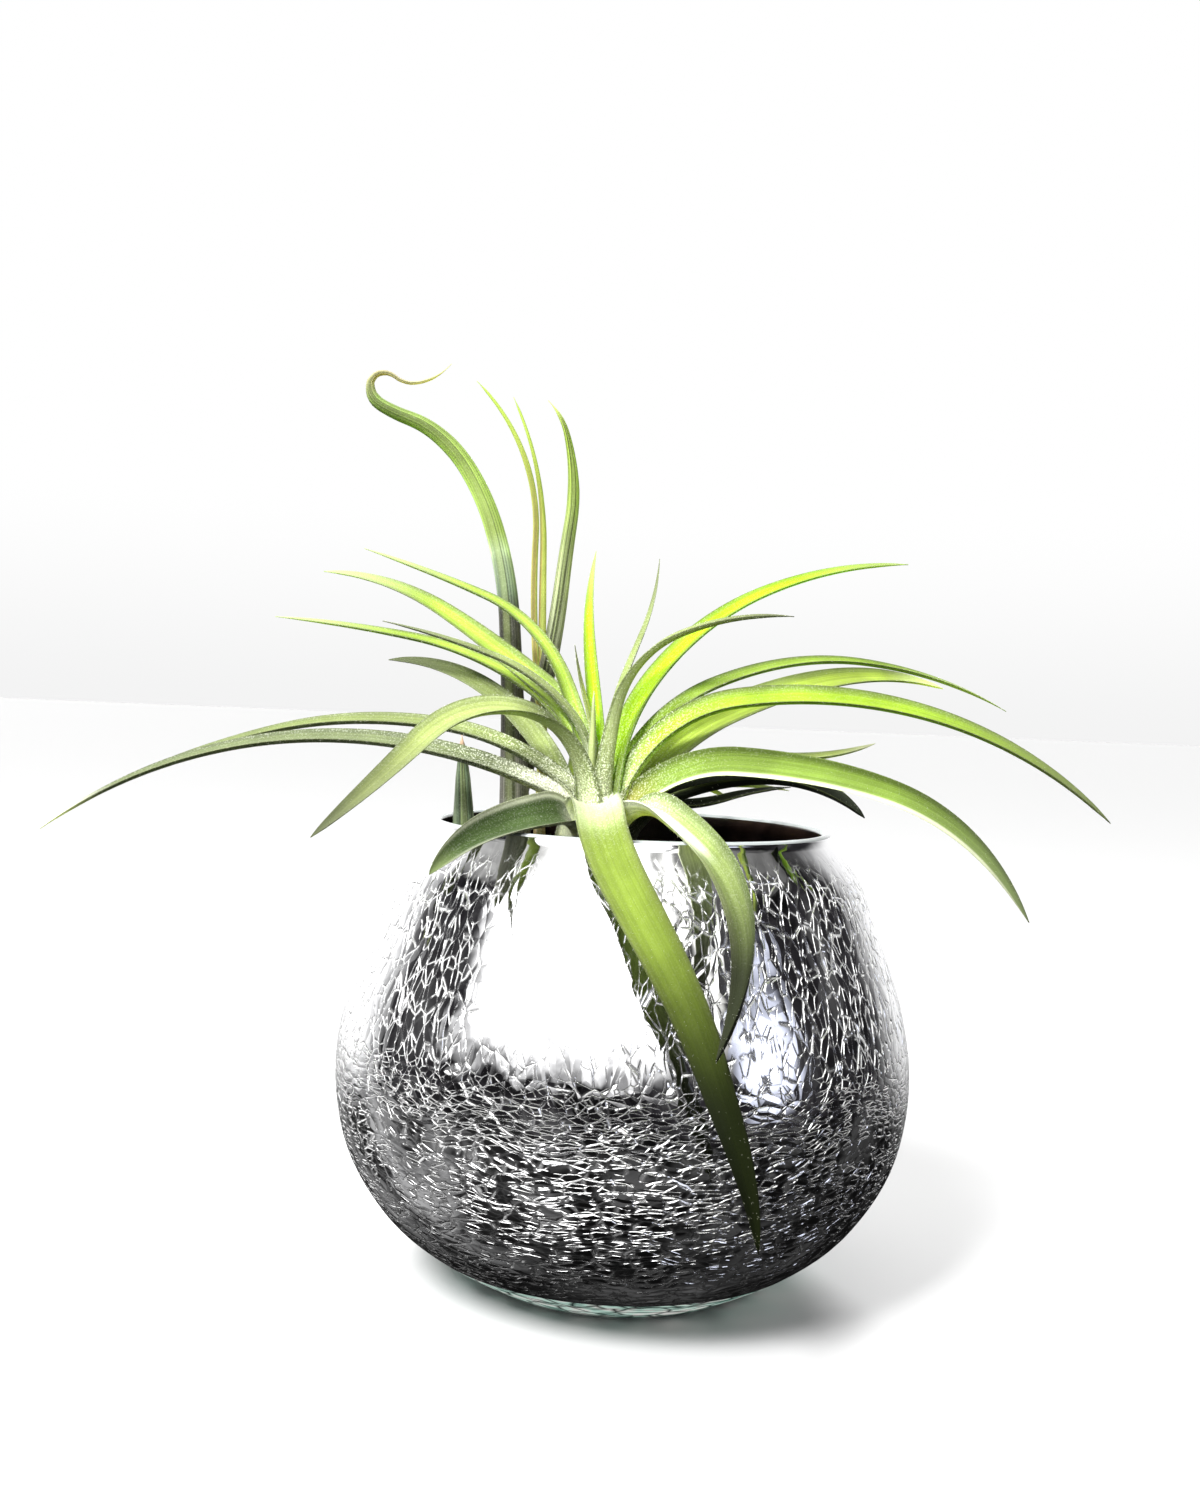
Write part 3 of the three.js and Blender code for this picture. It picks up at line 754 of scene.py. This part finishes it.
SKINS = {
    "lime": leaf_skin(
        "lime_blade",
        base=(0.66, 0.71, 0.46), inner=(0.31, 0.43, 0.06), outer=(0.29, 0.37, 0.12),
        edge=(0.16, 0.21, 0.07), tip=(0.44, 0.49, 0.29), glow=(1.38, 1.55, 0.55), glow_share=0.42,
        tip_start=0.66, edge_from=0.17, edging=0.85,
    ),
    "lime_right": leaf_skin(
        "long_lime_blade",
        base=(0.66, 0.71, 0.44), inner=(0.32, 0.46, 0.035), outer=(0.36, 0.44, 0.14),
        edge=(0.17, 0.23, 0.06), tip=(0.20, 0.22, 0.12), glow=(1.4, 1.55, 0.5), glow_share=0.42,
        tip_start=0.55, tip_end=1.05, edge_from=0.17, edging=0.85,
    ),
    # Its base is painted near black: painted shade in the crowded gap between the leaf bases
    "lime_low": leaf_skin(
        "low_lime_blade",
        base=(0.05, 0.05, 0.02), inner=(0.42, 0.54, 0.08), outer=(0.26, 0.32, 0.10),
        edge=(0.20, 0.25, 0.09), tip=(0.70, 0.74, 0.52), glow=(1.45, 1.55, 0.55), glow_share=0.42,
        base_end=0.27, dots=0.3, edge_from=0.17, edging=0.85,
    ),
    "green": leaf_skin(
        "green_blade",
        base=(0.60, 0.63, 0.44), inner=(0.36, 0.42, 0.12), outer=(0.36, 0.41, 0.18),
        edge=(0.20, 0.24, 0.12), tip=(0.42, 0.43, 0.32), glow=(1.45, 1.55, 0.65), glow_share=0.40,
    ),
    "grey": leaf_skin(
        "grey_green_blade",
        base=(0.58, 0.60, 0.44), inner=(0.25, 0.29, 0.11), outer=(0.32, 0.35, 0.20),
        edge=(0.34, 0.36, 0.25), tip=(0.36, 0.36, 0.28), glow=(1.5, 1.6, 0.8), glow_share=0.3,
    ),
    "dusky": leaf_skin(
        "dusky_blade",
        base=(0.54, 0.57, 0.38), inner=(0.17, 0.21, 0.07), outer=(0.17, 0.21, 0.09),
        edge=(0.16, 0.19, 0.09), tip=(0.13, 0.15, 0.08), glow=(1.5, 1.6, 0.7), glow_share=0.2,
        tip_start=0.6,
    ),
    "shaded": leaf_skin(
        "shaded_blade",
        base=(0.86, 0.86, 0.74), inner=(0.06, 0.095, 0.03), outer=(0.50, 0.51, 0.40),
        edge=(0.42, 0.45, 0.32), tip=(0.14, 0.18, 0.07), glow=(1.4, 1.5, 0.7), glow_share=0.15,
        edge_from=0.38, gloss=0.2, base_end=0.32, dots=0.8, scurf_end=0.35,
        low_rim=(0.52, 0.54, 0.40), low_rim_from=0.84, high_rim=(0.30, 0.32, 0.24),
    ),
    # Near-black blades: painted shade for the two leaves that lie in deep shadow under leaf_right_5
    "dark": leaf_skin(
        "shade_dark_blade",
        base=(0.06, 0.06, 0.04), inner=(0.003, 0.004, 0.002), outer=(0.03, 0.035, 0.025),
        edge=(0.015, 0.018, 0.012), tip=(0.02, 0.024, 0.016), glow=(1.4, 1.5, 0.7), glow_share=0.04,
        dots=0.08, gloss=0.06,
    ),
    "arching": leaf_skin(
        "arching_blade",
        base=(0.52, 0.37, 0.10), inner=(0.16, 0.24, 0.038), outer=(0.10, 0.13, 0.04),
        edge=(0.24, 0.34, 0.06), tip=(0.08, 0.09, 0.055), glow=(1.4, 1.55, 0.55), glow_share=0.30,
        dots=0.35, edge_from=0.40, edging=0.3, tip_start=0.6, tip_end=1.1, outline=0.2,
        low_rim=(0.80, 0.82, 0.60), low_rim_from=0.74, high_rim=(0.06, 0.09, 0.015),
    ),
    # The near-white base is partly the silver scales and partly a painted highlight on the bend;
    # the near-black lower half is painted shade on the leaf that hangs in front of the bowl
    "hanging": leaf_skin(
        "hanging_blade",
        base=(0.80, 0.84, 0.62), inner=(0.18, 0.25, 0.035), outer=(0.24, 0.30, 0.09),
        edge=(0.18, 0.23, 0.05), tip=(0.006, 0.008, 0.004), glow=(1.5, 1.6, 0.5), glow_share=0.25,
        tip_start=0.44, tip_end=0.78, base_end=0.30, dots=0.3, gloss=0.2, rib_contrast=0.10,
    ),
    "tipped": leaf_skin(
        "dark_tipped_blade",
        base=(0.50, 0.54, 0.34), inner=(0.38, 0.46, 0.08), outer=(0.36, 0.42, 0.12),
        edge=(0.24, 0.28, 0.10), tip=(0.10, 0.11, 0.06), glow=(1.4, 1.6, 0.5), glow_share=0.35,
        tip_start=0.6, tip_end=0.95,
    ),
    "silver": leaf_skin(
        "silver_blade",
        base=(0.42, 0.48, 0.24), inner=(0.22, 0.28, 0.09), outer=(0.52, 0.56, 0.38),
        edge=(0.40, 0.45, 0.22), tip=(0.014, 0.016, 0.010), glow=(1.5, 1.6, 0.6), glow_share=0.25,
        base_end=0.40, tip_start=0.50, tip_end=0.82, gloss=0.15, dots=0.9,
        low_rim=(0.90, 0.92, 0.82), low_rim_from=0.34, low_rim_end=0.52,
        high_rim=(0.12, 0.17, 0.05), outline=0.3,
    ),
    "silver_left": leaf_skin(
        "silver_left_blade",
        base=(0.80, 0.80, 0.66), inner=(0.15, 0.18, 0.085), outer=(0.17, 0.19, 0.12),
        edge=(0.13, 0.15, 0.09), tip=(0.74, 0.75, 0.66), glow=(1.5, 1.6, 0.8), glow_share=0.25,
        base_end=0.26, dots=0.9, tip_start=0.84, scurf_end=0.5, rim_scurf=0.2,
    ),
    "olive": leaf_skin(
        "olive_blade",
        base=(0.80, 0.83, 0.64), inner=(0.28, 0.33, 0.11), outer=(0.36, 0.41, 0.19),
        edge=(0.24, 0.29, 0.12), tip=(0.085, 0.095, 0.055), glow=(1.4, 1.5, 0.7), glow_share=0.34,
        base_end=0.20, tip_start=0.50, tip_end=1.1, dots=0.9, shadow_at=0.30,
    ),
    "bright": leaf_skin(
        "bright_blade",
        base=(0.34, 0.40, 0.16), inner=(0.38, 0.54, 0.02), outer=(0.34, 0.48, 0.05),
        edge=(0.18, 0.28, 0.05), tip=(0.36, 0.41, 0.18), glow=(1.30, 1.55, 0.35), glow_share=0.50,
        dots=0.5, tip_start=0.7, edge_from=0.17,
    ),
}
OVER_RIM_PLACES = (0, 0.08, 0.16, 0.24, 0.4, 0.7, 1)
OVER_LIP_PLACES = (0, 0.15, 0.3, 0.45, 0.7, 1)
# Name, root, length, climb and heading of each, then its width, fullness and roll
ROSETTE_LEAVES = [
    leaf("leaf_top_1", [-7.9, -11, 97], 58, [92, 90, 76, 61, 63], [145, 107, 75], 4.4, 1.2,
         skin="bright"),
    leaf("leaf_top_2", [-8.5, -13, 97], 34, [88, 99, 83, 70, 80], [129, 154, 146], 2.6, 1.2,
         skin="tipped"),
    leaf("leaf_top_3", [-6, -9.5, 96], 62, [94, 80, 69, 52, 57], [77, 53, 87], 2.8, skin="dusky",
         hairs=400),
    leaf("leaf_top_4", [-5.5, -14, 94], 68, [87, 81, 75, 22, -3], [-76, -29, -24], 5.6, 1.2, 20,
         skin="olive"),
    leaf("leaf_top_5", [-4.5, -12, 94], 92, [83, 83, 54, 26, 3], [5, 10, 10], 6.6, 1.2, 35,
         skin="bright"),
    leaf("leaf_top_6", [-8.5, -14.5, 96], 25, [80, 88, 86, 84, 84], [-90, -90, -90], 2.4, 1.5,
         skin="green"),
    leaf("leaf_left_1", [-9, -11, 94], 85, [102, 75, 66, 22, 17], [153, 163, 167], 5.4, 1, -30,
         skin="lime"),
    leaf("leaf_left_2", [-9.5, -9.5, 91.1], 93, [81, 90, 37, 30, 3], [172, 159, 159], 7, 1.6, -40,
         skin="lime"),
    leaf("leaf_left_3", [-10, -11, 91], 93, [84, 86, 34, 10, 4], [169, 171, 165], 5.6, 1, -30,
         skin="lime"),
    leaf("leaf_left_4", [-9.5, -13, 93], 67, [86, 99, 51, 20, 11], [-151, -176, -179], 4.4, 1, -25,
         skin="dusky"),
    leaf("leaf_left_5", [-11, -9, 89.4], 63, [79, 72, 52, 27, -2], [178, 158, 166], 5.2, 2.8, -52,
         skin="dusky"),
    leaf("leaf_left_6", [-11, -11.5, 89], 121, [111, 38, 6, -13, -23], [196, 164, 162], 5.6, 1.6,
         -25, skin="dusky"),
    leaf("leaf_left_7", [-10.5, -14.5, 87], 124, [105, 26, 9, -13, -36], [-157, -180, -187], 7.2,
         1.2, -25, skin="silver_left"),
    leaf("leaf_left_8", [-8.6, -15.5, 89.4], 92, [74, 80, 16, -37, -23], [-127, -139, -113], 8, 1.8,
         -25, skin="olive"),
    leaf("leaf_left_9", [-10, -16.5, 85], 49, [86, 59, -4, -13, -35], [-107, -138, -125], 9, 2.6,
         -38, skin="shaded", waist=0.5, fold=0.85),
    leaf("leaf_right_1", [-4, -10, 90.3], 118, [93, 67, 24, -3, -22], [6, 23, 28], 5.6, 1, 25,
         skin="lime"),
    leaf("leaf_right_2", [-2.5, -8, 89], 111, [91, 50, 22, 10, -9], [27, 38, 38], 8, 3, 35,
         skin="lime_low"),
    leaf("leaf_right_3", [-4, -14, 88.4], 122, [85, 67, 10, -13, -42], [-9, -3, -1], 7.4, 2.2, 32,
         skin="lime_right"),
    leaf("leaf_right_4", [-4.5, -16, 85.8], 111, [90, 46, 0, -12, -43], [-19, -36, -74], 6.8, 2, 62,
         skin="arching", fold=0.6),
    leaf("leaf_right_5", [-2, -9, 86.4], 92, [73, 54, 5, 1, 13], [24, 46, 48], 4.6, 2.5, 20,
         skin="green"),
    leaf("leaf_right_6", [-3.5, -15, 85.5], 59, [51, 62, 23, 3, -36], [-15, -15, -25], 8.4, 2.5, 24,
         skin="dark", fold=0.8, hairs=250),
    leaf("leaf_right_7", [-2, -12.5, 86], 51, [56, 73, -1, 12, 4], [4, 44, 31], 4.2, 1.6, 20,
         skin="dark", hairs=250),
    leaf("leaf_front_1", [-8.5, -17, 90], 113, [78, 24, -3, -30, -37, -67, -77],
         [-86, -79, -47, -16, 50], 9.6, 2, [0, 8, 34, 56, 84, 120], places=OVER_RIM_PLACES,
         skin="hanging"),
    leaf("leaf_front_2", [-5, -16.5, 86], 84, [63, 36, -24, -25, -46, -50], [-60, -48, -75, -136],
         6.8, 2.5, [0, 20, 26, 20], places=OVER_LIP_PLACES, skin="silver", fold=1.0),
    leaf("leaf_front_3", [-3.5, -15.5, 84], 32, [60, 25, 10, -10, -25], [-40, -32, -25], 4, 2,
         skin="grey"),
    leaf("leaf_back_1", [-8, -7, 89], 92, [84, 42, 8, -16, -42], [98, 96, 99], 5.2, 1.4),
    leaf("leaf_back_2", [-6.5, -6.5, 88], 100, [82, 44, 8, -18, -40], [88, 86, 84], 5.6, 1.6),
    leaf("leaf_back_3", [-5, -7, 88], 90, [84, 44, 8, -16, -40], [76, 74, 76], 5.2, 1.4),
    leaf("leaf_back_4", [-3.5, -8, 88], 56, [76, 50, 14, -8, -16], [60, 58, 56], 4.8, 1.6),
    leaf("leaf_back_5", [-1.5, -10, 88], 50, [70, 52, 17, 1, -8], [36, 36, 34], 4.6, 1.6),
]
for row in ROSETTE_LEAVES:
    blade = lay_leaf(row, BLADE_STEPS, BLADE_SIDES)
    blade.data.materials.append(SKINS[row["skin"]])
    grow_hairs(row, blade, fuzz)
    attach(blade, "root")
    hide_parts(row["name"])


# The crown: the short stem and the sheaths of all the leaves, packed into one bud. Silver scales
# cover it so thickly that it looks felted. It stands loose in the bowl's mouth, on its own leaves.
CROWN_AT = (-0.007, -0.012)
CROWN_FOOT = 0.062
CROWN_TALL = 0.043
CROWN_RADIUS = 0.0065
BUD_STEPS = 56
BUD_SIDES = 64
CROWN_SHAPE = [
    (0.02, 0), (0.45, 0.02), (0.7, 0.2), (0.95, 0.45), (1, 0.62), (0.8, 0.78), (0.4, 0.92),
    (0.02, 1),
]


def bud_outline(shape, radius, foot, tall):
    """A smooth outline from shares of a bud's radius and height."""
    curve = smooth_through(shape, BUD_STEPS)
    return [(float(out) * radius, foot + float(up) * tall) for out, up in curve]


crown_outline = bud_outline(CROWN_SHAPE, CROWN_RADIUS, CROWN_FOOT, CROWN_TALL)
crown = turn_up("crown", crown_outline, BUD_SIDES, CROWN_AT)
crown_skin, felt, felt_out = add_material("felted_crown")
felt_noise = noise(felt, own_place(felt), scale=2000.0, detail=3.0)
felt_color = ramp(
    felt,
    felt_noise,
    (0.36, (0.36, 0.41, 0.22)),
    (0.5, (0.74, 0.77, 0.58)),
    (0.62, (0.95, 0.96, 0.88)),
)
felt_shade = add_node(
    felt,
    "ShaderNodeBsdfPrincipled",
    {
        "Base Color": felt_color,
        "Roughness": 0.85,
        "Sheen Weight": 0.4,
        "Normal": dents(felt, felt_noise, strength=0.6, depth=0.0004),
    },
)
felt.links.new(felt_shade.outputs[0], felt_out.inputs["Surface"])
crown.data.materials.append(crown_skin)
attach(crown, "root")
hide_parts("rosette_crown")


# The slender plant: rolled, rush-like leaves with a fine stripe, which stand behind the rosette on
# one bulb. The tallest has curled over as it dried, and a young spike stands beside them.
TALL_PLACES = (0, 0.35, 0.55, 0.7, 0.8, 0.87, 0.94, 1)
CURL_PLACES = (0, 0.32, 0.51, 0.63, 0.71, 0.77, 0.81, 0.85, 0.88, 0.9, 0.92, 0.95, 1)
# Name, root, length, climb and heading of each, then its widths at places from base to tip
SLENDER_LEAVES = [
    leaf("slender_leaf_curled", [-24.1, 15, 45.5], 178,
         [88, 87, 85, 71, 56, 36, 18, 29, 93, 166, 217, 169, 128], [169, 171, 183],
         [[0, 10.5], [0.26, 8.6], [0.42, 6.2], [0.75, 4.8], [0.86, 3.4], [0.89, 1.8],
          [0.92, 1.1], [1, 0.6]], places=CURL_PLACES, skin="rush"),
    leaf("slender_leaf_tall", [-23, 21, 46], 143,
         [109, 79, 79, 85, 83, 95, 106, 138], [20, -2, 8],
         [[0, 6.4], [0.36, 5.8], [0.56, 5.2], [0.85, 3.4], [1, 0.6]],
         places=TALL_PLACES, skin="striped"),
    leaf("slender_leaf_thin_1", [-21, 14.2, 84], 109, [92, 91, 83, 91, 43], [196, 168, 179],
         [[0, 2.1], [0.8, 1.6], [1, 0.6]], skin="thin"),
    leaf("slender_leaf_thin_2", [-19.6, 18.4, 84], 105, [83, 91, 84, 88, 63], [184, 113, 174],
         [[0, 2.2], [0.7, 1.6], [1, 0.6]], skin="thin"),
    leaf("slender_leaf_spike", [-34, 4, 32], 79, [88, 88, 88, 88, 86], [210, 200, 180],
         [[0, 6.8], [0.75, 6], [0.88, 4], [0.96, 1.9], [1, 0.7]], skin="spike"),
]
RUSH_BANDS = [
    (0.0, (0.13, 0.125, 0.105)), (0.31, (0.16, 0.155, 0.13)), (0.36, (0.085, 0.08, 0.065)),
    (0.52, (0.075, 0.075, 0.06)), (0.545, (0.20, 0.26, 0.18)), (0.585, (0.36, 0.43, 0.30)),
    (0.597, (0.56, 0.66, 0.45)), (0.62, (0.40, 0.50, 0.16)), (0.72, (0.35, 0.46, 0.12)),
    (0.86, (0.27, 0.37, 0.11)), (0.89, (0.50, 0.44, 0.28)), (0.93, (0.56, 0.50, 0.32)),
    (1.0, (0.66, 0.62, 0.42)),
]
SKINS["rush"] = leaf_skin(
    "rush_blade",
    bands=RUSH_BANDS, tip=(0.60, 0.58, 0.34), glow=(1.4, 1.5, 0.8), glow_share=0.38, stripes=30.0,
    dots=0.35, rib_contrast=0.6, tip_start=0.95,
)
STRIPED_BANDS = [
    (0.0, (0.12, 0.11, 0.085)), (0.56, (0.10, 0.095, 0.07)), (0.63, (0.25, 0.27, 0.18)),
    (0.74, (0.34, 0.38, 0.21)), (0.83, (0.34, 0.43, 0.12)), (0.93, (0.38, 0.50, 0.09)),
    (1.0, (0.52, 0.62, 0.18)),
]
SKINS["striped"] = leaf_skin(
    "striped_blade",
    bands=STRIPED_BANDS, tip=(0.62, 0.68, 0.26), glow=(1.4, 1.5, 0.8), glow_share=0.42,
    stripes=26.0, dots=0.35, rib_contrast=0.7, tip_start=0.95,
)
SKINS["thin"] = leaf_skin(
    "thin_blade",
    base=(0.24, 0.17, 0.09), inner=(0.45, 0.50, 0.15), outer=(0.45, 0.50, 0.15),
    edge=(0.34, 0.17, 0.07), tip=(0.42, 0.52, 0.12), glow=(1.4, 1.5, 0.8), glow_share=0.4,
    stripes=10.0, dots=0.2, edge_from=0.30, edging=0.7, tip_start=0.6,
)
SKINS["spike"] = leaf_skin(
    "spike_blade",
    base=(0.05, 0.07, 0.05), inner=(0.15, 0.19, 0.11), outer=(0.15, 0.19, 0.11),
    edge=(0.08, 0.12, 0.07), tip=(0.55, 0.34, 0.24), glow=(1.2, 1.4, 0.9), glow_share=0.1,
    stripes=30.0, tip_start=0.95, dots=0.3, rib_contrast=0.85,
)
ROLLED_STEPS = 110
CURLED_STEPS = 190
ROLLED_SIDES = 20
for row in SLENDER_LEAVES:
    blade = lay_leaf(row, CURLED_STEPS if "curled" in row["name"] else ROLLED_STEPS, ROLLED_SIDES)
    blade.data.materials.append(SKINS[row["skin"]])
    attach(blade, "root")
    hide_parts(row["name"])


# The slender plant's bulb: swollen leaf sheaths wrapped round each other, papery and brown. It
# stands loose on the bowl's floor, where the silvered wall hides it.
BULB_AT = (-0.025, 0.012)
BULB_GAP = 0.00035
BULB_FOOT = FLOOR + BULB_GAP
BULB_TOP = 0.054
BULB_TALL = BULB_TOP - BULB_FOOT
BULB_RADIUS = 0.013
BULB_SHAPE = [
    (0.02, 0), (0.5, 0), (0.86, 0.14), (1, 0.34), (0.94, 0.56), (0.78, 0.76), (0.62, 0.92),
    (0.4, 1), (0.02, 1),
]
bulb_outline = bud_outline(BULB_SHAPE, BULB_RADIUS, BULB_FOOT, BULB_TALL)
bulb = turn_up("bulb", bulb_outline, BUD_SIDES, BULB_AT)
bulb_skin, paper, paper_out = add_material("papery_bulb")
fibres = {"Vector": own_place(paper), "Scale": (1.0, 1.0, 0.12)}
paper_place = add_node(paper, "ShaderNodeMapping", fibres).outputs[0]
paper_noise = noise(paper, paper_place, scale=420.0, detail=4.0)
paper_color = ramp(paper, paper_noise, (0.3, (0.10, 0.08, 0.045)), (0.7, (0.30, 0.27, 0.17)))
paper_dent = dents(paper, paper_noise, strength=0.5, depth=0.0005)
paper_shade = add_node(
    paper,
    "ShaderNodeBsdfPrincipled",
    {"Base Color": paper_color, "Roughness": 0.75, "Normal": paper_dent},
)
paper.links.new(paper_shade.outputs[0], paper_out.inputs["Surface"])
bulb.data.materials.append(bulb_skin)
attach(bulb, "root")
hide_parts("slender_plant_bulb")
